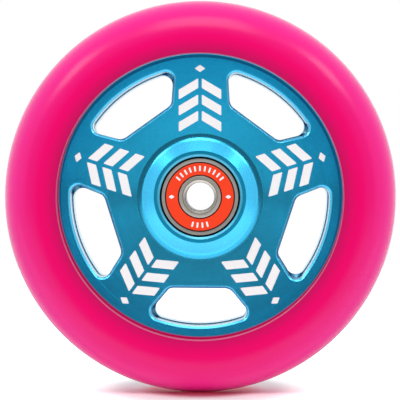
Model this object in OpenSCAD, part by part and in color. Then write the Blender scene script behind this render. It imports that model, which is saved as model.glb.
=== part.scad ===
// Scooter wheel: a polyurethane tyre cast round a spoked aluminium core that runs on two sealed ball bearings.
// Each piece is drawn about Z with the side that shows at +Z, then turned so that the axle lies along Y.

/* [Tyre] */
// Diameter over the tread
tyre_d = 110; // [100:1:125]
// Width over the sidewalls, which is also the diameter of the round tread section
tyre_w = 24; // [22:0.5:28]
// Depth of the tyre from its tread to the core's rim
tread_depth = 11; // [9:0.5:13]
// Distance that the tyre's lips reach in past the core's rim
lip_depth = 4.25; // [3:0.05:5]

/* [Core] */
// Thickness over the two spoke faces
face_w = 18.4; // [16.4:0.2:20]
// Bevel round each face, beside the tyre's lip
rim_bevel = 1; // [0.6:0.1:2]
// Number of grooves in the rim that key the tyre to it
key_count = 3; // [1:1:4]
// Width of a keying groove
key_w = 2.4; // [1.6:0.2:3]
// Depth of a keying groove
key_depth = 1.5; // [0.5:0.1:2.5]
// Width of the flat ring on top of each boss
boss_flat = 1; // [0.6:0.1:2]
// Slope of the boss's flank
boss_slope = 40; // [35:1:60]
// Radius of the cove between a boss and its face
boss_cove = 3; // [1:0.1:5]
// Chamfer at the mouth of each bearing seat
seat_mouth = 0.75; // [0.3:0.05:1.2]
// Width of the ledge that each bearing's outer race sits against
seat_ledge = 1.1; // [0.6:0.1:1.2]

/* [Windows] */
// Number of windows, which is also the number of spokes
window_count = 5; // [4:1:7]
// Turn of the windows about the axle, from where one spoke stands upright
window_turn = -0.4; // [-36:0.1:36]
// Radial height of a window between its walls
window_h = 10.65; // [8:0.05:12]
// Flat rim between a window's outer wall and the bevel
rim_band = 2.7; // [2:0.1:4]
// Width of a spoke at its inner end, between the walls of two windows
spoke_w = 16.2; // [13:0.2:20]
// Angle by which each side of a spoke leans in towards the rim
spoke_taper = 4; // [0:0.5:8]
// Radius of a window's inner corners
window_in_round = 2.8; // [1.5:0.1:3.5]
// Radius of a window's outer corners
window_out_round = 2.2; // [1.5:0.1:3]
// Chamfer round each window, on both faces
window_chamfer = 0.7; // [0.4:0.05:1.2]

/* [Bearings] */
// Outside diameter of a bearing
bearing_od = 22; // [21:0.5:24]
// Bore of a bearing, for the axle
bearing_id = 8; // [7:0.1:8.5]
// Width of a bearing
bearing_w = 7; // [6.6:0.1:8]
// Depth of each bearing's face below the top of its boss
bearing_recess = 0.3; // [0:0.05:0.8]
// Chamfer at the outer corners of the races
race_chamfer = 0.3; // [0.1:0.05:0.4]
// Radial gap between the shoulders of the two races
race_gap = 2.9; // [2.6:0.1:3.3]
// Wall of the outer race at its faces, outside the seal
outer_wall = 1.38; // [1.1:0.02:1.6]
// Wall of the inner race at its faces, inside the seal
inner_wall = 1.78; // [1.5:0.02:1.9]
// Diameter of a ball
ball_d = 3.969; // [3.5:0.001:4.3]
// Number of balls in a bearing
ball_count = 7; // [5:1:8]

/* [Cages] */
// Thickness of the pressed sheet
cage_t = 0.2; // [0.15:0.01:0.25]
// Radial width of the ribbon
cage_w = 1.3; // [1:0.1:1.6]
// Diameter of a rivet's shank
rivet_d = 0.6; // [0.4:0.05:0.7]
// Diameter of a rivet's heads
rivet_head_d = 1; // [0.8:0.05:1.2]
// Height of a rivet's heads
rivet_head_h = 0.2; // [0.1:0.05:0.3]

/* [Seals] */
// Depth of a seal's face below the face of its bearing
seal_recess = 0.2; // [0.1:0.05:0.3]
// Thickness of the rubber over the steel ring
seal_rubber = 0.35; // [0.25:0.05:0.4]
// Thickness of the steel ring inside a seal
seal_steel = 0.25; // [0.15:0.05:0.3]
// Width of the rubber lip inside the steel ring
seal_lip = 0.6; // [0.4:0.05:0.9]
// Height of the rubber bead that snaps into the outer race
bead_h = 0.35; // [0.25:0.05:0.5]
// Thickness of that bead
bead_t = 0.5; // [0.3:0.05:0.6]

/* [Spacer] */
// Length of the tube between the two inner races
spacer_l = 10; // [8:0.5:12]
// Wall of the tube
spacer_wall = 1.45; // [1:0.05:1.6]

/* [Fits] */
// Gap at the bond between tyre and core
bond_gap = 0.02; // [0.01:0.01:0.05]
// Radial gap between an outer race and its seat
seat_gap = 0.01; // [0.005:0.005:0.03]
// Gap between a ball and the grooves that it rolls in
ball_gap = 0.06; // [0.02:0.01:0.1]
// Gap between a ball and its cage
cage_gap = 0.1; // [0.05:0.01:0.12]
// Gap round a rivet's shank and under its heads
rivet_gap = 0.02; // [0.01:0.01:0.04]
// Gap between a seal's lip and the inner race
lip_gap = 0.25; // [0.15:0.05:0.3]
// Gap round a seal's bead and steel ring
bead_gap = 0.05; // [0.02:0.01:0.08]
// Radial gap between the axle and the spacer tube
spacer_gap = 0.05; // [0.02:0.01:0.15]

/* [Hidden] */

$fn = 96;
cage_fn = 160;
corner_steps = 8;
arc_steps = 12;
over = 1;

pink = [0.93, 0.07, 0.42];
blue = [0.10, 0.52, 0.70];
steel = [0.62, 0.62, 0.60];
brass_steel = [0.66, 0.60, 0.46];
red = [0.96, 0.25, 0.15];
dark_steel = [0.36, 0.36, 0.37];
alloy = [0.75, 0.76, 0.78];

// Tyre and rim
section_r = tyre_w / 2;
section_centre = tyre_d / 2 - section_r;
rim_r = tyre_d / 2 - tread_depth;
lip_r = rim_r - lip_depth;
face_r = lip_r - rim_bevel;
face_z = face_w / 2;
rim_z = face_z - rim_bevel;
key_pitch = 2 * rim_z / key_count;

// Hub, from the spacer outwards
seat_z = spacer_l / 2;
bearing_z = seat_z + bearing_w / 2;
boss_z = seat_z + bearing_w + bearing_recess;
seat_r = bearing_od / 2 + seat_gap;
ledge_r = bearing_od / 2 - seat_ledge;
boss_top_r = seat_r + seat_mouth + boss_flat;
cone_h = boss_z - face_z - boss_cove * (1 - cos(boss_slope));
cone_foot_r = boss_top_r + cone_h / tan(boss_slope);
boss_foot_r = cone_foot_r + boss_cove * sin(boss_slope);

// Windows
window_out_r = face_r - rim_band;
window_in = window_out_r - window_h;
window_lean = 180 / window_count + spoke_taper;
in_round = min(window_in_round, 0.3 * window_h);
out_round = min(window_out_round, 0.3 * window_h);

// Bearing
half_w = bearing_w / 2;
pitch_r = (bearing_od + bearing_id) / 4;
groove_r = ball_d / 2 + ball_gap;
outer_shoulder_r = pitch_r + race_gap / 2;
inner_shoulder_r = pitch_r - race_gap / 2;
seal_out_r = bearing_od / 2 - outer_wall;
race_step_r = bearing_id / 2 + inner_wall;
seal_in_r = race_step_r + lip_gap;
seal_top = half_w - seal_recess;
seal_mid = seal_top - seal_rubber;
seal_low = seal_mid - seal_steel;
step_z = seal_low - bead_gap;
bead_top = seal_low + bead_t;
bead_r = seal_out_r + bead_h;
steel_in_r = seal_in_r + seal_lip;
steel_out_r = seal_out_r - seal_lip / 2;
pocket_r = ball_d / 2 + cage_gap;
rivet_hole_r = rivet_d / 2 + rivet_gap;

// Repeats its children round the axle
module around(count, start = 0) {
    for (i = [0 : count - 1])
        rotate(start + i * 360 / count) children();
}

// Copies a profile to the other side of the wheel's middle plane
module both_sides() {
    children();
    mirror([0, 1]) children();
}

// A band of a profile, from one radius to another and one height to another
module band(r_in, r_out, z_low, z_high) {
    translate([r_in, z_low]) square([r_out - r_in, z_high - z_low]);
}

// The keying grooves, drawn in by a gap where the tyre fills them
module key_grooves(gap) {
    for (i = [0 : key_count - 1]) {
        z = (i - (key_count - 1) / 2) * key_pitch;
        band(rim_r - key_depth + gap, rim_r + over, z - key_w / 2 + gap, z + key_w / 2 - gap);
    }
}

// The part of the rim that lies under the tyre, grown by a gap
module rim_profile(gap) {
    difference() {
        band(lip_r - over, rim_r + gap, -rim_z - gap, rim_z + gap);
        key_grooves(gap);
    }
}

module tyre_profile() {
    difference() {
        intersection() {
            translate([section_centre, 0]) circle(section_r);
            band(lip_r + bond_gap, tyre_d, -tyre_w, tyre_w);
        }
        rim_profile(bond_gap);
    }
}

// Half of the core's outline, from the ledge out over the boss to the rim
function core_half() = [
    [ledge_r, seat_z],
    [seat_r, seat_z],
    [seat_r, boss_z - seat_mouth],
    [seat_r + seat_mouth, boss_z],
    [boss_top_r, boss_z],
    [cone_foot_r, boss_z - cone_h],
    [boss_foot_r, face_z],
    [face_r, face_z],
    [lip_r, rim_z],
    [rim_r, rim_z]
];

function flipped(points) = [for (i = [len(points) - 1 : -1 : 0]) [points[i].x, -points[i].y]];

module core_profile() {
    difference() {
        polygon(concat(core_half(), flipped(core_half())));
        both_sides() translate([boss_foot_r, face_z + boss_cove]) circle(boss_cove);
        key_grooves(0);
    }
}

// Side of a window: a point on its wall, the way along it and the way in from it
spoke_angle = 180 / window_count;
side_point = window_in * [sin(spoke_angle), cos(spoke_angle)]
    + spoke_w / 2 * [-cos(spoke_angle), sin(spoke_angle)];
side_along = [sin(window_lean), cos(window_lean)];
side_inward = [-cos(window_lean), sin(window_lean)];

// Centres of the two corner arcs: one touches the inner edge and the side, the other the side and the rim
in_start = side_point + in_round * side_inward;
in_centre = in_start + (window_in + in_round - in_start.y) / side_along.y * side_along;
out_start = side_point + out_round * side_inward;
out_reach = window_out_r - out_round;
out_run = -out_start * side_along
    + sqrt(pow(out_start * side_along, 2) - out_start * out_start + pow(out_reach, 2));
out_centre = out_start + out_run * side_along;
out_angle = atan2(out_centre.y, out_centre.x);

// Stations round a window: the centre of an arc, its radius and the angle on it
function stations(centre, radius, from, to, steps) =
    [for (i = [0 : steps]) [centre, radius, from + (to - from) * i / steps]];

function right_corners() = concat(
    stations(in_centre, in_round, -90, -window_lean, corner_steps),
    stations(out_centre, out_round, -window_lean, out_angle, corner_steps)
);

function left_corners() = let (right = right_corners())
    [for (i = [len(right) - 1 : -1 : 0]) [[-right[i][0].x, right[i][0].y], right[i][1], 180 - right[i][2]]];

function rim_arc() = let (arc = stations([0, 0], window_out_r, out_angle, 180 - out_angle, arc_steps))
    [for (i = [1 : arc_steps - 1]) arc[i]];

function window_stations() = concat(right_corners(), rim_arc(), left_corners());

// A window's outline at one height, grown all round for the chamfer
function window_ring(grow, z) = [for (s = window_stations())
    [s[0].x + (s[1] + grow) * cos(s[2]), s[0].y + (s[1] + grow) * sin(s[2]), z]];

// One window with its chamfers, lofted through four outlines
module window() {
    wide = window_chamfer + over;
    edge = face_z - window_chamfer;
    count = len(window_stations());
    rings = concat(
        window_ring(wide, -face_z - over),
        window_ring(0, -edge),
        window_ring(0, edge),
        window_ring(wide, face_z + over)
    );
    walls = [for (ring = [0 : 2], i = [0 : count - 1]) let (next = (i + 1) % count) [
        ring * count + i, (ring + 1) * count + i, (ring + 1) * count + next, ring * count + next
    ]];
    bottom = [[for (i = [0 : count - 1]) i]];
    top = [[for (i = [count - 1 : -1 : 0]) 3 * count + i]];
    polyhedron(rings, concat(bottom, walls, top));
}

module outer_race() {
    rotate_extrude() difference() {
        polygon([
            [outer_shoulder_r, -step_z],
            [seal_out_r, -step_z],
            [seal_out_r, -half_w],
            [bearing_od / 2 - race_chamfer, -half_w],
            [bearing_od / 2, -half_w + race_chamfer],
            [bearing_od / 2, half_w - race_chamfer],
            [bearing_od / 2 - race_chamfer, half_w],
            [seal_out_r, half_w],
            [seal_out_r, step_z],
            [outer_shoulder_r, step_z]
        ]);
        translate([pitch_r, 0]) circle(groove_r);
        both_sides() band(seal_out_r - over, bead_r, step_z, bead_top + bead_gap);
    }
}

module inner_race() {
    rotate_extrude() difference() {
        polygon([
            [bearing_id / 2, -half_w + race_chamfer],
            [bearing_id / 2 + race_chamfer, -half_w],
            [race_step_r, -half_w],
            [race_step_r, -step_z],
            [inner_shoulder_r, -step_z],
            [inner_shoulder_r, step_z],
            [race_step_r, step_z],
            [race_step_r, half_w],
            [bearing_id / 2 + race_chamfer, half_w],
            [bearing_id / 2, half_w - race_chamfer]
        ]);
        translate([pitch_r, 0]) circle(groove_r);
    }
}

module balls() {
    around(ball_count) translate([pitch_r, 0, 0]) sphere(d = ball_d);
}

// Half of the ribbon cage: a flat ring pressed into a round pocket over each ball, with rivet holes between
module cage_half() {
    difference() {
        intersection() {
            rotate_extrude() band(pitch_r - cage_w / 2, pitch_r + cage_w / 2, rivet_gap / 2, half_w);
            union() {
                cylinder(r = bearing_od / 2, h = cage_t);
                around(ball_count) translate([pitch_r, 0, 0]) sphere(pocket_r + cage_t, $fn = cage_fn);
            }
        }
        around(ball_count) translate([pitch_r, 0, 0]) sphere(pocket_r, $fn = cage_fn);
        around(ball_count, 180 / ball_count) translate([pitch_r, 0, -over])
            cylinder(r = rivet_hole_r, h = 2 * over);
    }
}

module rivets() {
    head_z = cage_t + rivet_gap;
    around(ball_count, 180 / ball_count) translate([pitch_r, 0, 0]) rotate_extrude() union() {
        band(0, rivet_d / 2, -head_z, head_z);
        both_sides() band(0, rivet_head_d / 2, head_z, head_z + rivet_head_h);
    }
}

// Rubber seal: a flat face, a lip round the inner race and a bead that snaps into the outer race
module seal() {
    rotate_extrude() difference() {
        union() {
            band(seal_in_r, seal_out_r - bead_gap, seal_low, seal_top);
            band(steel_out_r, bead_r - bead_gap, seal_low, bead_top);
        }
        band(steel_in_r - bead_gap / 2, steel_out_r + bead_gap / 2, seal_low - over, seal_mid);
    }
}

module seal_ring() {
    rotate_extrude() band(steel_in_r, steel_out_r, seal_low, seal_mid);
}

// Places a bearing's pieces, with +Z as the bearing's outer side
module at_front() {
    rotate([90, 0, 0]) translate([0, 0, bearing_z]) children();
}

module at_rear() {
    rotate([-90, 0, 0]) translate([0, 0, bearing_z]) children();
}

// Turns a piece over, to the inner side of its bearing
module turned_over() {
    rotate([180, 0, 0]) children();
}

module tyre() {
    color(pink) rotate([90, 0, 0]) rotate_extrude() tyre_profile();
}

module core() {
    color(blue) rotate([90, 0, 0]) difference() {
        rotate_extrude() core_profile();
        around(window_count, 180 + window_turn) window();
    }
}

module spacer_tube() {
    bore_r = bearing_id / 2 + spacer_gap;
    color(alloy) rotate([90, 0, 0]) rotate_extrude() band(bore_r, bore_r + spacer_wall, -seat_z, seat_z);
}

module front_outer_race() {
    color(steel) at_front() outer_race();
}

module front_inner_race() {
    color(steel) at_front() inner_race();
}

module front_balls() {
    color(steel) at_front() balls();
}

module front_cage_outer() {
    color(brass_steel) at_front() cage_half();
}

module front_cage_inner() {
    color(brass_steel) at_front() turned_over() cage_half();
}

module front_cage_rivets() {
    color(steel) at_front() rivets();
}

module front_outer_seal() {
    color(red) at_front() seal();
}

module front_outer_seal_ring() {
    color(dark_steel) at_front() seal_ring();
}

module front_inner_seal() {
    color(red) at_front() turned_over() seal();
}

module front_inner_seal_ring() {
    color(dark_steel) at_front() turned_over() seal_ring();
}

module rear_outer_race() {
    color(steel) at_rear() outer_race();
}

module rear_inner_race() {
    color(steel) at_rear() inner_race();
}

module rear_balls() {
    color(steel) at_rear() balls();
}

module rear_cage_outer() {
    color(brass_steel) at_rear() cage_half();
}

module rear_cage_inner() {
    color(brass_steel) at_rear() turned_over() cage_half();
}

module rear_cage_rivets() {
    color(steel) at_rear() rivets();
}

module rear_outer_seal() {
    color(red) at_rear() seal();
}

module rear_outer_seal_ring() {
    color(dark_steel) at_rear() seal_ring();
}

module rear_inner_seal() {
    color(red) at_rear() turned_over() seal();
}

module rear_inner_seal_ring() {
    color(dark_steel) at_rear() turned_over() seal_ring();
}

tyre();
core();
spacer_tube();
front_outer_race();
front_inner_race();
front_balls();
front_cage_outer();
front_cage_inner();
front_cage_rivets();
front_outer_seal();
front_outer_seal_ring();
front_inner_seal();
front_inner_seal_ring();
rear_outer_race();
rear_inner_race();
rear_balls();
rear_cage_outer();
rear_cage_inner();
rear_cage_rivets();
rear_outer_seal();
rear_outer_seal_ring();
rear_inner_seal();
rear_inner_seal_ring();
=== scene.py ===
from math import acos, atan2, cos, degrees, pi, radians, sin, sqrt, tan

import bmesh
import bpy
from mathutils import Matrix, Vector


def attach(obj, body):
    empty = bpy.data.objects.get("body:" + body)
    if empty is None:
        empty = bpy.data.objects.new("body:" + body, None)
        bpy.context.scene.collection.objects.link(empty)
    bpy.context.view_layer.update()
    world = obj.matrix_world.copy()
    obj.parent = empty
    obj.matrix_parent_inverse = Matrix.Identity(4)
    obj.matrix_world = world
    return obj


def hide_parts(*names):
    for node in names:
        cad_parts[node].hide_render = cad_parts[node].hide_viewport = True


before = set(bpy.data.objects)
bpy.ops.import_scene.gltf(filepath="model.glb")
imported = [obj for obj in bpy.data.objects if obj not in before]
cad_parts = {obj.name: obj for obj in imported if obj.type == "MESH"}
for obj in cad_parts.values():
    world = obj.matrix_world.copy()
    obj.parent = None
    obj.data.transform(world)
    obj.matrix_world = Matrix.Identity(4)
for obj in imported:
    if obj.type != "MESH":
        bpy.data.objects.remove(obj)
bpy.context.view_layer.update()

# Core: one forged aluminium blank, turned on a lathe, milled through between its five spokes from both
# faces, and anodised blue. The tyre is cast round its grooved rim, and a bearing is pressed into each boss.
MM = 0.001
TURN_STEPS = 240
EDGE_BREAK = 0.12 * MM
MERGE_DISTANCE = 0.0001 * MM
SHARP_ANGLE = radians(35)

rim_r = 44.0 * MM
lip_r = 39.75 * MM
rim_bevel = 1.0 * MM
face_r = lip_r - rim_bevel
face_y = 9.2 * MM
rim_y = face_y - rim_bevel
key_count = 3
key_w = 2.4 * MM
key_depth = 1.5 * MM
key_pitch = 2 * rim_y / key_count

seat_r = 11.01 * MM
seat_y = 5.0 * MM
ledge_r = 9.9 * MM
seat_mouth = 0.75 * MM
mouth_depth = 0.35 * MM
lead_in = 0.15 * MM
lead_depth = 1.0 * MM
boss_y = 12.3 * MM
boss_flat = 1.0 * MM
boss_top_r = seat_r + seat_mouth + boss_flat
boss_slope = radians(40)
boss_cove = 3.0 * MM
boss_corner_r = boss_top_r + (boss_y - face_y) / tan(boss_slope)
boss_foot_r = boss_corner_r + boss_cove * tan(boss_slope / 2)

window_count = 5
window_h = 10.65 * MM
rim_band = 2.7 * MM
window_out_r = face_r - rim_band
window_in = window_out_r - window_h
spoke_w = 16.2 * MM
spoke_taper = radians(4)
in_round = 2.8 * MM
out_round = 2.2 * MM
chamfer = 0.7 * MM
chamfer_depth = 0.58 * MM
face_strip = 0.3 * MM
front_turn = radians(-0.5)
rear_turn = radians(-0.2)
rear_inset = 0.2 * MM
rear_round = 2.9 * MM
step_half = 0.25 * MM


def arc(centre, radius, start, end, steps):
    """Points along an arc, from one angle to another in degrees."""
    angles = [radians(start + (end - start) * i / steps) for i in range(steps + 1)]
    return [Vector((centre[0] + radius * cos(a), centre[1] + radius * sin(a))) for a in angles]


def rounded(corners, steps=4):
    """An outline through corners of two coordinates and a rounding, each made an arc of that radius."""
    outline = []
    for i, (across, along, rounding) in enumerate(corners):
        here = Vector((across, along))
        if rounding == 0:
            outline.append(here)
            continue
        before = (Vector(corners[i - 1][:2]) - here).normalized()
        after = (Vector(corners[(i + 1) % len(corners)][:2]) - here).normalized()
        half = before.angle(after) / 2
        middle = here + (before + after).normalized() * rounding / sin(half)
        first = here + before * rounding / tan(half) - middle
        last = here + after * rounding / tan(half) - middle
        outline += [middle + rounding * first.slerp(last, k / steps) for k in range(steps + 1)]
    return outline


def flipped(corners):
    """The same corners on the other side of the wheel, in reverse order."""
    return [(r, -y, rounding) for r, y, rounding in reversed(corners)]


def lathe(bm, outline, closed=False):
    """Spins an outline of (radius, width) points round the axle."""
    verts = [bm.verts.new((r, y, 0)) for r, y in outline]
    edges = [bm.edges.new(pair) for pair in zip(verts, verts[1:])]
    if closed:
        edges.append(bm.edges.new((verts[-1], verts[0])))
    bmesh.ops.spin(
        bm, geom=verts + edges, cent=(0, 0, 0), axis=(0, 1, 0),
        angle=2 * pi, steps=TURN_STEPS, use_merge=True,
    )


def add_piece(name, bm, body, material, slot, *nodes):
    """Makes a mesh into an object that rides on a body and, where it is given nodes, stands for them."""
    bmesh.ops.remove_doubles(bm, verts=bm.verts[:], dist=MERGE_DISTANCE)
    bmesh.ops.recalc_face_normals(bm, faces=bm.faces[:])
    mesh = bpy.data.meshes.new(name)
    bm.to_mesh(mesh)
    bm.free()
    mesh.polygons.foreach_set("use_smooth", [True] * len(mesh.polygons))
    mesh.set_sharp_from_angle(angle=SHARP_ANGLE)
    mesh.materials.append(material)
    piece = bpy.data.objects.new(name, mesh)
    bpy.context.collection.objects.link(piece)
    normals = piece.modifiers.new("normals", "WEIGHTED_NORMAL")
    normals.keep_sharp = True
    normals.weight = 100
    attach(piece, body)
    if nodes:
        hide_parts(*nodes)


class Shade:
    """A socket in a material's nodes: arithmetic on it adds Math nodes, and node() adds any other kind."""

    def __init__(self, tree, socket=None):
        self.tree = tree
        self.socket = socket

    def node(self, kind, settings=None, inputs=None, output=0):
        made = self.tree.nodes.new(kind)
        for name, value in (settings or {}).items():
            setattr(made, name, value)
        for name, value in (inputs or {}).items():
            if isinstance(value, Shade):
                self.tree.links.new(value.socket, made.inputs[name])
            else:
                made.inputs[name].default_value = value
        return Shade(self.tree, made.outputs[output] if made.outputs else None)

    def math(self, operation, first, second=0.0):
        return self.node("ShaderNodeMath", {"operation": operation}, {0: first, 1: second})

    def __add__(self, other):
        return self.math("ADD", self, other)

    def __radd__(self, other):
        return self.math("ADD", other, self)

    def __sub__(self, other):
        return self.math("SUBTRACT", self, other)

    def __rsub__(self, other):
        return self.math("SUBTRACT", other, self)

    def __mul__(self, other):
        return self.math("MULTIPLY", self, other)

    def __rmul__(self, other):
        return self.math("MULTIPLY", other, self)

    def __truediv__(self, other):
        return self.math("DIVIDE", self, other)

    def place(self):
        return self.node("ShaderNodeTexCoord", output="Object")

    def along(self, axis):
        """A point's coordinate along an axis, in millimetres."""
        return self.node("ShaderNodeSeparateXYZ", inputs={0: self.place()}, output=axis) / MM

    def radius(self, x=0.0, z=0.0):
        """A point's distance from the axle, or from a line beside it, in millimetres."""
        return self.place().less(x, 0, z).length(1 / MM, 0, 1 / MM)

    def less(self, *offset):
        """This vector less a fixed one."""
        return self.node("ShaderNodeVectorMath", {"operation": "SUBTRACT"}, {0: self, 1: offset})

    def length(self, *scale):
        """The length of this vector after its three parts are scaled."""
        scaled = self.node("ShaderNodeVectorMath", {"operation": "MULTIPLY"}, {0: self, 1: scale})
        return self.node("ShaderNodeVectorMath", {"operation": "LENGTH"}, {0: scaled}, output="Value")

    def between(self, low, high):
        """Rises smoothly from 0 to 1 as this value goes from low to high."""
        inputs = {"Value": self, "From Min": low, "From Max": high}
        return self.node("ShaderNodeMapRange", {"interpolation_type": "SMOOTHSTEP"}, inputs)

    def noise(self, per_mm, detail=2.0):
        """Cloudy noise over the piece."""
        inputs = {"Vector": self.place(), "Scale": per_mm / MM, "Detail": detail}
        return self.node("ShaderNodeTexNoise", inputs=inputs)

    def rings(self, per_mm, detail=3.0, wander=0.0):
        """Fine uneven rings round the axle, as a lathe tool leaves them, that wander by so many rings."""
        inputs = {"W": self.radius() * per_mm + self.noise(1.5) * wander, "Scale": 1.0, "Detail": detail}
        return self.node("ShaderNodeTexNoise", {"noise_dimensions": "1D"}, inputs)

    def ring_marks(self, *marks):
        """1 on rings round the axle that are given as a radius and a half width in millimetres, else 0."""
        total = 0.0
        for radius, half in marks:
            off = self.math("ABSOLUTE", self.radius() - radius)
            total = self.math("MAXIMUM", total, 1 - off.between(half * 0.5, half))
        return total

    def mix(self, low, high):
        """A colour between two, by this value."""
        return self.node("ShaderNodeMix", {"data_type": "RGBA"}, {0: self, 6: low, 7: high}, output=2)

    def mix_vectors(self, low, high):
        """A vector between two, by this value."""
        return self.node("ShaderNodeMix", {"data_type": "VECTOR"}, {0: self, 4: low, 5: high}, output=1)

    def ray(self, kind):
        """1 for light rays of that kind, else 0."""
        return self.node("ShaderNodeLightPath", output=f"Is {kind} Ray")

    def bump(self, distance):
        """A normal from this value taken as a height of that many metres."""
        return self.node("ShaderNodeBump", inputs={"Height": self, "Distance": distance})


def screen(red, green, blue):
    """A colour given as screen values out of 255, as a shader takes it."""
    parts = [value / 255 for value in (red, green, blue)]
    return [p / 12.92 if p <= 0.04045 else ((p + 0.055) / 1.055) ** 2.4 for p in parts] + [1.0]


def new_material(name):
    """An empty material, and the shade that its nodes are built from."""
    material = bpy.data.materials.new(name)
    material.use_nodes = True
    material.node_tree.nodes.clear()
    return material, Shade(material.node_tree)


def set_surface(shade, **sockets):
    """Ends a material in one Principled shader with these sockets."""
    inputs = {name.replace("_", " ").title().replace("Ior", "IOR"): value for name, value in sockets.items()}
    surface = shade.node("ShaderNodeBsdfPrincipled", inputs=inputs)
    shade.node("ShaderNodeOutputMaterial", inputs={"Surface": surface})


def anodised_blue():
    """Dyed metal under clear oxide: turned on the faces, paler where cut, painted shade where two cuts meet.
    """
    material, shade = new_material("anodised_blue")
    cloud = shade.noise(0.06, detail=3)
    grain = shade.noise(6)
    mottle = shade.noise(1.8) * 0.6 - 0.3
    radius = shade.radius()
    depth = shade.math("ABSOLUTE", shade.along("Y"))
    foot = boss_foot_r / MM
    crown_end = boss_top_r / MM
    mouth_end = crown_end - boss_flat / MM
    face = face_y / MM
    step_end = step_half / MM
    turned = radius.between(foot - 0.35, foot + 0.25) * depth.between(face - 0.2, face - 0.05)
    crown = 1 - radius.between(crown_end - 0.15, crown_end)
    mouth = 1 - radius.between(mouth_end, mouth_end + 0.1)
    cut = 1 - depth.between(face - 0.12, face - 0.02)
    # Painted shade: the ledge where the front and rear cuts meet, deep inside each window, is coloured dark
    # for its shadow.
    step = 1 - depth.between(step_end - 0.05, step_end + 0.15)
    deepen = radius.between(foot, rim_r / MM) * 0.8 + cloud * 0.2
    dye = (deepen + mottle).mix(screen(34, 203, 255), screen(12, 165, 224))
    dye = mouth.mix(dye, screen(88, 190, 226))
    dye = cut.mix(dye, screen(72, 200, 240))
    # Painted shade on that ledge.
    dye = step.mix(dye, screen(70, 120, 140))

    # The lathe leaves the faces slightly hollow and ringed, and the milled edges fall away from the axle.
    # Heights are in millimetres.
    ring_height = 0.0231
    grain_height = 0.0033
    hollow_slope = 0.1188
    edge_slope = 0.0528
    reach = shade.math("MAXIMUM", radius, foot)
    rings = shade.rings(70, detail=0, wander=8)
    cut_height = grain * grain_height - reach * edge_slope
    face_height = rings * ring_height + grain * grain_height + reach * hollow_slope
    set_surface(
        shade, base_color=dye, metallic=1.0, coat_roughness=0.2, coat_ior=1.55,
        coat_weight=1 - deepen * turned * 0.6 - crown * 0.7,
        roughness=0.2 + turned * 0.05 + (crown + mouth) * 0.1 + cloud * 0.04 + grain * 0.04,
        normal=turned.mix_vectors(cut_height.bump(MM), face_height.bump(MM)),
    )
    return material


spoke_angle = pi / window_count
lean = spoke_angle + spoke_taper
side_point = Matrix.Rotation(-spoke_angle, 2) @ Vector((-spoke_w / 2, window_in))
side_along = Vector((sin(lean), cos(lean)))
side_inward = Vector((-cos(lean), sin(lean)))
in_start = side_point + in_round * side_inward
in_centre = in_start + (window_in + in_round - in_start.y) / side_along.y * side_along


def window_half(grow, out_r, corner):
    """The right half of the window above the axle, grown all round, from its inner edge up to its crown."""
    start = side_point + corner * side_inward
    near = start.dot(side_along)
    run = sqrt(near ** 2 - start.length_squared + (out_r - corner) ** 2) - near
    centre = start + run * side_along
    end = degrees(atan2(centre.y, centre.x))
    inner = arc(in_centre, in_round + grow, -90, -degrees(lean), steps=8)
    outer = arc(centre, corner + grow, -degrees(lean), end, steps=12)
    crown = arc((0, 0), out_r + grow, end, 90, steps=10)
    return inner + outer + crown[1:]


def window_outline(grow, out_r, right_corner, left_corner):
    """The whole outline of that window, with its two outer corners rounded as given."""
    left = window_half(grow, out_r, left_corner)[:-1]
    return window_half(grow, out_r, right_corner) + [Vector((-p.x, p.y)) for p in reversed(left)]


def outline_loop(bm, outline, y):
    """A closed loop of edges along an outline that faces along the axle."""
    verts = [bm.verts.new((p.x, y, p.y)) for p in outline]
    return [bm.edges.new((verts[i - 1], verts[i])) for i in range(len(verts))]


boss_half = [
    (boss_foot_r, -face_y, 0),
    (boss_corner_r, -face_y, boss_cove),
    (boss_top_r, -boss_y, EDGE_BREAK),
    (seat_r + seat_mouth, -boss_y, EDGE_BREAK),
    (seat_r + lead_in, -boss_y + mouth_depth, 0),
    (seat_r, -boss_y + lead_depth, EDGE_BREAK),
    (seat_r, -seat_y, 0),
    (ledge_r, -seat_y, EDGE_BREAK),
]
keys = []
for i in range(key_count):
    low = (i - (key_count - 1) / 2) * key_pitch - key_w / 2
    high = low + key_w
    keys += [(rim_r, low, 0), (rim_r - key_depth, low, 0), (rim_r - key_depth, high, 0), (rim_r, high, 0)]
rim_half = [
    (face_r - face_strip, -face_y, 0),
    (face_r, -face_y, EDGE_BREAK),
    (lip_r, -rim_y, 0),
    (rim_r, -rim_y, 0),
]
profile = [
    (chamfer + face_strip, face_y),
    (chamfer, face_y),
    (0, face_y - chamfer_depth),
    (0, step_half),
]
cuts = [
    (-1, front_turn, 0, window_out_r, out_round),
    (1, rear_turn, rear_inset, window_out_r - rear_inset / 2, rear_round),
]
sector_start = 270 - 180 / window_count
sector_end = 270 + 180 / window_count
sector = arc((0, 0), boss_foot_r, sector_start, sector_end, TURN_STEPS // window_count)
sector += arc((0, 0), face_r - face_strip, sector_end, sector_start, TURN_STEPS // window_count)
bm = bmesh.new()
step = []
cut_edges = []
for side, turn, inset, out_r, corner in cuts:
    around = Matrix.Rotation(pi + turn, 2)
    loops = []
    for grow, depth in profile:
        outline = [around @ p for p in window_outline(grow - inset, out_r, corner, out_round)]
        loops.append(outline_loop(bm, outline, side * depth))
    for near, far in zip(loops, loops[1:]):
        bmesh.ops.bridge_loops(bm, edges=near + far)
    bmesh.ops.triangle_fill(bm, edges=loops[0] + outline_loop(bm, sector, side * face_y), use_beauty=True)
    step += loops[-1]
    cut_edges += [edge for loop in loops[1:] for edge in loop]
bmesh.ops.bridge_loops(bm, edges=step)
bmesh.ops.bevel(
    bm, geom=cut_edges, offset=EDGE_BREAK / 2, offset_type="OFFSET", affect="EDGES",
    segments=2, profile=0.5, material=-1,
)
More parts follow.
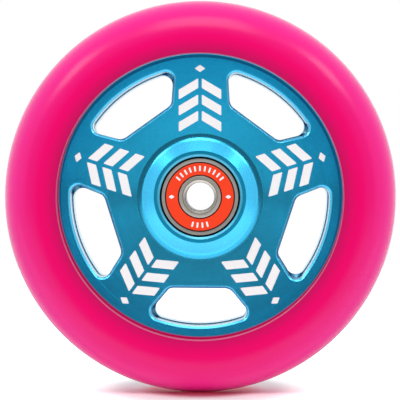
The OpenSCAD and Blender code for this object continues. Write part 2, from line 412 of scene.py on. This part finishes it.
bmesh.ops.spin(
    bm, geom=bm.verts[:] + bm.edges[:] + bm.faces[:], cent=(0, 0, 0), axis=(0, 1, 0), use_duplicate=True,
    angle=2 * pi * (window_count - 1) / window_count, steps=window_count - 1,
)
lathe(bm, rounded(boss_half + flipped(boss_half), steps=8)[1:-1])
lathe(bm, rounded(rim_half + keys + flipped(rim_half)))
add_piece("core_milled", bm, "wheel", anodised_blue(), "anodised", "core")

# Tyre: pink polyurethane poured hot round the core in a mould, so that it grips the rim's grooves. Its
# section is round, its lips stand proud of the core's faces, and a thin skin of it crept over the bevels.
tyre_r = 55.0 * MM
section_r = 12.0 * MM
section_centre = tyre_r - section_r
bond_gap = 0.02 * MM
lip_break = 0.3 * MM
skin_fall = 0.2 * MM
skin_fillet = 0.2 * MM
skin_shift = (0.18 * MM, 0.53 * MM)
skin_r = 39.4 * MM
skin_fade = 0.25 * MM
gloss_start_r = 44.5 * MM
gloss_full_r = 47.5 * MM


def cast_urethane():
    """Pink, glossy on the tread and matt beside it, with painted shade by the lip. Blue shows where the skin
    ends.
    """
    material, shade = new_material("cast_urethane")
    cloud = shade.noise(0.045, detail=3)
    speck = shade.noise(2.6)
    radius = shade.radius()
    lip = lip_r / MM
    tread = radius.between(section_centre / MM, tyre_r / MM)
    painted_lip_highlight = shade.ring_marks((lip + 0.05, 0.12))
    # Painted light: the pink turns bluer and brighter towards the tread, for the stronger light it catches
    # there.
    pink = (tread * 0.85 + cloud * 0.15).mix(screen(240, 0, 101), screen(247, 3, 150))
    # Painted shade: the pink darkens to a dusky tone towards the lip, where the proud lip and the blue core
    # shade it.
    pink = radius.between(lip - 1.25, gloss_start_r / MM).mix(screen(195, 16, 92), pink)
    # Painted highlight: a pale line round the lip's edge.
    pink = (painted_lip_highlight * 0.45).mix(pink, screen(240, 170, 190))
    blue = screen(32, 198, 240)
    crept = shade.radius(*skin_shift).between((skin_r - skin_fade) / MM, (skin_r + skin_fade) / MM)
    cover = shade.math("MAXIMUM", crept, radius.between(lip - 0.1, lip))
    gloss = radius.between(gloss_start_r / MM, gloss_full_r / MM)
    set_surface(
        shade, base_color=cover.mix(blue, pink), metallic=1 - cover, specular_ior_level=0.08,
        coat_weight=gloss * 0.9, coat_roughness=0.24, coat_ior=1.33,
        roughness=0.21 + cloud * 0.05 + speck * 0.03, normal=(shade.rings(5) + speck * 0.6).bump(0.002 * MM),
        subsurface_weight=0.05, subsurface_scale=2 * MM,
    )
    return material


inner_r = lip_r + bond_gap
lip_angle = degrees(acos((inner_r - section_centre) / section_r))
lip_y = section_r * sin(radians(lip_angle))
section = arc((section_centre, 0), section_r, -lip_angle, lip_angle, steps=72)[1:-1]
lip_half = [
    (inner_r, lip_y, lip_break),
    (inner_r, face_y - skin_fall, skin_fillet),
    (face_r + 2 * bond_gap, face_y, 0),
    (inner_r, rim_y + bond_gap, 0),
    (rim_r + bond_gap, rim_y + bond_gap, 0),
]
grip = [(r + bond_gap, y, 0) for r, y, _ in reversed(keys)]
bm = bmesh.new()
tyre_corners = [(p.x, p.y, 0) for p in section] + lip_half + grip + flipped(lip_half)
lathe(bm, rounded(tyre_corners), closed=True)
add_piece("tyre_cast", bm, "wheel", cast_urethane(), "urethane", "tyre")

# Spoke print: white ink, screen printed and cured on both faces of every spoke, as three rows of slanted
# bars in a herringbone with a small lozenge beyond them.
ink_t = 0.03 * MM
ink_round = 0.2 * MM
bar_rows = 3
bar_pitch = 4.5 * MM
bar_h = 2.7 * MM
bar_w = 5.4 * MM
bar_gap = 1.0 * MM
bar_fall = 3.2 * MM
bar_start = 21.2 * MM
lozenge_at = 35.6 * MM
lozenge_w = 1.5 * MM
lozenge_h = 1.0 * MM


def white_ink():
    material, shade = new_material("white_ink")
    mottle = shade.noise(1.5, detail=3)
    set_surface(
        shade, base_color=mottle.mix(screen(244, 241, 243), screen(253, 251, 252)),
        roughness=0.42 + mottle * 0.1, normal=mottle.bump(0.002 * MM),
    )
    return material


def print_shape(bm, corners, y, turn):
    """A patch of ink on a face that looks to the front, turned round the axle from above it."""
    around = Matrix.Rotation(turn, 2)
    outline = [around @ p for p in rounded([(x, z, ink_round) for x, z in corners])]
    patch = bmesh.ops.edgeloop_fill(bm, edges=outline_loop(bm, outline, y + ink_t / 3))["faces"]
    raised = bmesh.ops.extrude_face_region(bm, geom=patch)["geom"]
    top = [part for part in raised if isinstance(part, bmesh.types.BMVert)]
    bmesh.ops.translate(bm, verts=top, vec=(0, -ink_t * 4 / 3, 0))


def lozenge(half_wide, half_high, at):
    """The corners of a lozenge whose middle is that far above the axle."""
    return [(half_wide, at), (0, at + half_high), (-half_wide, at), (0, at - half_high)]


def mirror_to_rear(bm):
    """Adds the same shapes on the other side of the wheel."""
    copy = bmesh.ops.duplicate(bm, geom=bm.verts[:] + bm.edges[:] + bm.faces[:])["geom"]
    bmesh.ops.scale(bm, verts=[v for v in copy if isinstance(v, bmesh.types.BMVert)], vec=(1, -1, 1))


bm = bmesh.new()
for i in range(window_count):
    turn = i * 2 * pi / window_count
    for row in range(bar_rows):
        low = bar_start + row * bar_pitch
        for side in (-1, 1):
            near = side * bar_gap / 2
            far = side * (bar_gap / 2 + bar_w)
            bar = [(near, low), (near, low + bar_h), (far, low + bar_h - bar_fall), (far, low - bar_fall)]
            print_shape(bm, bar, -face_y, turn)
    print_shape(bm, lozenge(lozenge_w, lozenge_h, lozenge_at), -face_y, turn)
mirror_to_rear(bm)
ink = white_ink()
add_piece("spoke_print", bm, "wheel", ink, "anodised")

# Spacer tube: a length of turned aluminium tube between the two inner races, bored to pass the axle. It is
# cut bright and left bare.


def turned_alloy():
    material, shade = new_material("turned_alloy")
    inputs = {"W": shade.along("Y"), "Scale": 6.0, "Detail": 3.0}
    feed = shade.node("ShaderNodeTexNoise", {"noise_dimensions": "1D"}, inputs)
    set_surface(
        shade, base_color=feed.mix(screen(186, 188, 192), screen(212, 213, 216)), metallic=1.0,
        roughness=0.24 + feed * 0.16, normal=feed.bump(0.004 * MM),
    )
    return material


def finish_node(node, material):
    """Gives a CAD node that nothing replaces its material."""
    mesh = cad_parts[node].data
    mesh.materials.clear()
    mesh.materials.append(material)


finish_node("spacer_tube", turned_alloy())

# Bearing races: rings of hardened chrome steel, ground on every face, with a groove for the balls and a
# step at each side for a seal. The outer race is pressed into its seat, and the inner one is clamped
# against the spacer.
bearing_y = 8.5 * MM
half_w = 3.5 * MM
race_r = 11.0 * MM
bore_r = 4.0 * MM
race_chamfer = 0.3 * MM
race_break = 0.08 * MM
pitch_r = 7.5 * MM
groove_r = 2.0445 * MM
shoulder = 1.45 * MM
seal_out_r = 9.62 * MM
race_step_r = 5.78 * MM
bead_r = 9.97 * MM
bead_y = 3.25 * MM
step_y = 2.65 * MM
bore_chamfer = 0.7 * MM
bore_depth = 0.2 * MM
SEAM_SHADE = screen(14, 13, 13)


def ground_steel(name, dark, light, *seam_shade_rings):
    """Steel with fine grinding lines, and with painted shade on the given rings, in the seams and edges by
    other parts.
    """
    material, shade = new_material(name)
    lines = shade.rings(11, detail=4)
    smear = shade.noise(0.5, detail=3)
    clean = (lines * 0.6 + smear * 0.4).mix(dark, light)
    set_surface(
        shade, base_color=shade.ring_marks(*seam_shade_rings).mix(clean, SEAM_SHADE), metallic=1.0,
        roughness=0.28 + lines * 0.14 + smear * 0.06, normal=lines.bump(0.003 * MM),
    )
    return material


def at_bearing(corners, side):
    """Corners drawn about a bearing's middle, moved to the front (-1) or rear (1) bearing."""
    return [(r, side * (bearing_y + y), rounding) for r, y, rounding in corners]


def groove(start, end):
    """The groove that the balls run in, as plain corners."""
    return [(p.x, p.y, 0) for p in arc((pitch_r, 0), groove_r, start, end, steps=16)]


groove_angle = degrees(acos(shoulder / groove_r))
outer_half = [
    (pitch_r + shoulder, -step_y, 0),
    (bead_r, -step_y, 0),
    (bead_r, -bead_y, 0),
    (seal_out_r, -bead_y, 0),
    (seal_out_r, -half_w, race_break),
    (race_r - race_chamfer, -half_w, race_break),
    (race_r, -half_w + race_chamfer, race_break),
]
inner_half = [
    (pitch_r - shoulder, -step_y, 0),
    (race_step_r, -step_y, 0),
    (race_step_r, -half_w, race_break),
    (bore_r + bore_chamfer, -half_w, race_break),
    (bore_r, -half_w + bore_depth, race_break / 2),
]
outer_corners = outer_half + flipped(outer_half) + groove(groove_angle, -groove_angle)
inner_corners = inner_half + flipped(inner_half) + groove(180 - groove_angle, 180 + groove_angle)
# Painted shade: dark rings in the seams by the seal and the seat, and at the bore, its chamfer and the seal's
# step.
seal_line = (seal_out_r / MM + 0.02, 0.06)
seat_line = (race_r / MM - 0.2, 0.3)
bore_line = (bore_r / MM + 0.04, 0.06)
chamfer_line = ((bore_r + bore_chamfer) / MM + 0.08, 0.07)
step_line = (race_step_r / MM + 0.14, 0.17)
outer_steel = ground_steel(
    "outer_race_steel", screen(196, 191, 186), screen(236, 232, 227), seal_line, seat_line,
)
inner_steel = ground_steel(
    "inner_race_steel", screen(214, 208, 198), screen(244, 239, 230), bore_line, chamfer_line, step_line,
)
races = [
    ("outer_race", "wheel", outer_corners, outer_steel),
    ("inner_race", "axle_stack", inner_corners, inner_steel),
]
for side, place in ((-1, "front"), (1, "rear")):
    for race, body, corners, material in races:
        bm = bmesh.new()
        lathe(bm, rounded(at_bearing(corners, side)), closed=True)
        add_piece(f"{place}_{race}_ground", bm, body, material, "bearing_steel", f"{place}_{race}")

# Balls and cages: seven polished chrome steel balls, held apart by two pressed sheet ribbons that are
# riveted together between them. They lie behind the seals.


def polished_steel():
    material, shade = new_material("polished_steel")
    haze = shade.noise(3, detail=4)
    set_surface(
        shade, base_color=haze.mix(screen(196, 197, 200), screen(214, 215, 217)), metallic=1.0,
        roughness=0.06 + haze * 0.08,
    )
    return material


def pressed_sheet():
    material, shade = new_material("pressed_sheet")
    scuff = shade.noise(1.2, detail=4)
    set_surface(
        shade, base_color=scuff.mix(screen(150, 138, 104), screen(186, 172, 134)), metallic=1.0,
        roughness=0.3 + scuff * 0.2, normal=scuff.bump(0.01 * MM),
    )
    return material


polish = polished_steel()
sheet = pressed_sheet()
for place in ("front", "rear"):
    finish_node(f"{place}_balls", polish)
    finish_node(f"{place}_cage_rivets", polish)
    finish_node(f"{place}_cage_outer", sheet)
    finish_node(f"{place}_cage_inner", sheet)

# Seals: red rubber moulded over a flat steel ring, with a bead that snaps into the outer race and a lip that
# runs just clear of the inner one. The inner seals lie out of sight.
seal_y = 3.3 * MM
seal_mid = 2.95 * MM
seal_low = 2.7 * MM
seal_bead = 3.2 * MM
seal_in_r = 6.03 * MM
seal_gap = 0.05 * MM
ring_in_r = 6.63 * MM
ring_out_r = 9.32 * MM
seal_round = 0.12 * MM


def seal_rubber():
    material, shade = new_material("seal_rubber")
    bloom = shade.noise(0.7, detail=4)
    pore = shade.noise(9)
    red = bloom.mix(screen(251, 55, 6), screen(255, 66, 18))
    # Painted shade: dark rings in the seams at the seal's inner and outer edges.
    edges = shade.ring_marks((seal_in_r / MM + 0.02, 0.1), (seal_out_r / MM - 0.12, 0.2))
    set_surface(
        shade, base_color=edges.mix(red, SEAM_SHADE),
        specular_ior_level=0.3, roughness=0.42 + bloom * 0.1, normal=(bloom * 0.5 + pore).bump(0.004 * MM),
    )
    return material


def dull_steel():
    material, shade = new_material("dull_steel")
    scale = shade.noise(2, detail=4)
    set_surface(
        shade, base_color=scale.mix(screen(84, 84, 86), screen(112, 112, 114)), metallic=1.0,
        roughness=0.4 + scale * 0.2, normal=scale.bump(0.006 * MM),
    )
    return material


seal_corners = [
    (seal_in_r, -seal_low, 0),
    (seal_in_r, -seal_y, seal_round),
    (seal_out_r - seal_gap, -seal_y, seal_round),
    (seal_out_r - seal_gap, -seal_bead, 0),
    (bead_r - seal_gap, -seal_bead, 0),
    (bead_r - seal_gap, -seal_low, 0),
    (ring_out_r + seal_gap / 2, -seal_low, 0),
    (ring_out_r + seal_gap / 2, -seal_mid, 0),
    (ring_in_r - seal_gap / 2, -seal_mid, 0),
    (ring_in_r - seal_gap / 2, -seal_low, 0),
]
rubber = seal_rubber()
ring_steel = dull_steel()
for side, place in ((-1, "front"), (1, "rear")):
    bm = bmesh.new()
    outwards = [(r, -y, rounding) for r, y, rounding in seal_corners]
    lathe(bm, rounded(at_bearing(outwards, side)), closed=True)
    add_piece(f"{place}_outer_seal_moulded", bm, "wheel", rubber, "seal_rubber", f"{place}_outer_seal")
    finish_node(f"{place}_inner_seal", rubber)
    finish_node(f"{place}_outer_seal_ring", ring_steel)
    finish_node(f"{place}_inner_seal_ring", ring_steel)

# Seal print: short white ticks round the face of each outer seal, a long run above and a short one below,
# with a lozenge at each side.
tick_w = 0.5 * MM
tick_low = 7.1 * MM
tick_high = 8.6 * MM
tick_step = 10
upper_ticks = range(-50, 51, tick_step)
lower_ticks = range(165, 196, tick_step)
seal_lozenge_w = 0.55 * MM
seal_lozenge_h = 0.9 * MM
seal_face_y = bearing_y + seal_y

bm = bmesh.new()
tick = [(-tick_w / 2, tick_low), (tick_w / 2, tick_low), (tick_w / 2, tick_high), (-tick_w / 2, tick_high)]
for angle in [*upper_ticks, *lower_ticks]:
    print_shape(bm, tick, -seal_face_y, radians(angle))
middle = (tick_low + tick_high) / 2
for angle in (-90, 90):
    print_shape(bm, lozenge(seal_lozenge_w, seal_lozenge_h, middle), -seal_face_y, radians(angle))
mirror_to_rear(bm)
add_piece("seal_print", bm, "wheel", ink, "seal_rubber")

# Stage: a white table with a painted pink shadow and a painted pink glow under the tyre, and plain soft
# light.
# The camera is almost square on to the wheel and a little above its axle, and the flat faces reflect a grey
# card behind it.
IMAGE_PX = 400
PX_PER_MM = 3.552
camera_distance = 0.65
camera_right = 0.0058
camera_up = 0.0061
wheel_px = Vector((200.31, 196.45))
card_w = 5.0
card_h = 3.6
card_distance = 1.5
card_light = 0.85
card_dark = 0.12
room_light = 0.73
table_w = 0.9
table_front = 0.042
shadow_back = 0.01
shadow_stretch = 0.6
TABLE_WHITE = (0.95, 0.95, 0.95, 1.0)
PAINTED_SHADOW_PINK = (0.75, 0.17, 0.24, 1.0)
PAINTED_SHADOW_DEEP = (0.4, 0.08, 0.13, 1.0)
PAINTED_PINK_GLOW = (0.16, 0.002, 0.012, 1.0)


def mirrored(shade):
    """1 for what the camera sees in something shiny."""
    return shade.math("MAXIMUM", shade.ray("Glossy"), shade.ray("Transmission"))


def shown(shade):
    """1 for what the camera sees, directly or in something shiny, and 0 for light on the object."""
    return shade.math("MAXIMUM", shade.ray("Camera"), mirrored(shade))


def white_table():
    """White paint that turns pure white round the shadow, with a painted pink shadow and glow under the
    wheel.
    """
    material, shade = new_material("white_table")
    away = shade.place().less(0, shadow_back, 0).length(1 / MM, shadow_stretch / MM, 0)
    back = shade.along("Y")
    direct = shade.ray("Camera")
    front = 1 - back.between(-8, -2)
    # Painted shadow: the table's paint darkens to pink near the wheel, deepest in front of it and fading
    # behind.
    under = (1 - away.between(6 + direct * 6, 12 + direct * 8)) * (1 - back.between(8, 22))
    paint = under.mix(TABLE_WHITE, front.mix(PAINTED_SHADOW_PINK, PAINTED_SHADOW_DEEP))
    in_shine = mirrored(shade) * away.between(9, 16) * front
    white = shade.math("MAXIMUM", direct * away.between(20, 33), in_shine)
    # Painted glow: near the contact the table gives off pink to the camera alone, in place of light through
    # the tyre.
    through = direct * (1 - away.between(5, 12))
    glow = through.mix(white * 0.5, PAINTED_PINK_GLOW)
    matte = shade.node("ShaderNodeBsdfPrincipled", inputs={"Base Color": paint, "Roughness": 0.6})
    light = shade.node("ShaderNodeEmission", inputs={"Color": glow})
    surface = shade.node("ShaderNodeAddShader", inputs={0: matte, 1: light})
    shade.node("ShaderNodeOutputMaterial", inputs={"Surface": surface})
    return material


def grey_card():
    """Dark above and pale below in reflections, but bright all over in the light that it gives."""
    material, shade = new_material("grey_card")
    downwards = 1 - shade.along("Z").between(-500, -80)
    change = downwards * card_light - (card_light - card_dark)
    light = shade.node("ShaderNodeEmission", inputs={"Color": card_light + shown(shade) * change})
    shade.node("ShaderNodeOutputMaterial", inputs={"Surface": light})
    return material


def add_stage(name, width, depth, matrix, material):
    """A flat oblong beside the object that isn't part of it."""
    bm = bmesh.new()
    stretch = Matrix.Diagonal((width, depth, 1, 1))
    bmesh.ops.create_grid(bm, x_segments=2, y_segments=2, size=0.5, matrix=matrix @ stretch)
    mesh = bpy.data.meshes.new(name)
    bm.to_mesh(mesh)
    bm.free()
    mesh.materials.append(material)
    stage = bpy.data.objects.new(name, mesh)
    bpy.context.collection.objects.link(stage)
    return stage


table_middle = Matrix.Translation((0, table_w / 2 - table_front, -tyre_r))
add_stage("table", table_w, table_w, table_middle, white_table())
upright = Matrix.Translation((0, -card_distance, 0)) @ Matrix.Rotation(pi / 2, 4, "X")
card = add_stage("card", card_w, card_h, upright, grey_card())
card.visible_camera = False


def soft_box(name, place, size, watts):
    """A square area lamp that faces the wheel."""
    lamp = bpy.data.lights.new(name, "AREA")
    lamp.size = size
    lamp.energy = watts
    lamp_object = bpy.data.objects.new(name, lamp)
    lamp_object.location = place
    lamp_object.rotation_euler = (-Vector(place)).to_track_quat("-Z", "Y").to_euler()
    bpy.context.collection.objects.link(lamp_object)


soft_box("top_box", (0, -0.64, 1.11), size=0.6, watts=3.2)
soft_box("left_box", (-0.734, -0.42, 0.734), size=0.3, watts=1.35)
soft_box("right_box", (0.734, -0.42, 0.734), size=0.3, watts=1.35)

world = bpy.data.worlds.new("studio")
world.use_nodes = True
world.node_tree.nodes.clear()
bpy.context.scene.world = world
sky = Shade(world.node_tree)
backdrop = sky.node("ShaderNodeBackground", inputs={"Color": room_light + shown(sky) * (1 - room_light)})
sky.node("ShaderNodeOutputWorld", inputs={"Surface": backdrop})

aim = (wheel_px - Vector((IMAGE_PX / 2, IMAGE_PX / 2))) / PX_PER_MM * MM
target = Vector((-aim.x, 0, aim.y))
camera_data = bpy.data.cameras.new("camera")
camera_data.lens = camera_data.sensor_width * camera_distance / (IMAGE_PX / PX_PER_MM * MM)
camera = bpy.data.objects.new("camera", camera_data)
camera.location = (camera_right, -camera_distance, camera_up)
camera.rotation_euler = (target - camera.location).to_track_quat("-Z", "Y").to_euler()
bpy.context.collection.objects.link(camera)
bpy.context.scene.camera = camera
bpy.context.scene.view_settings.view_transform = "Standard"
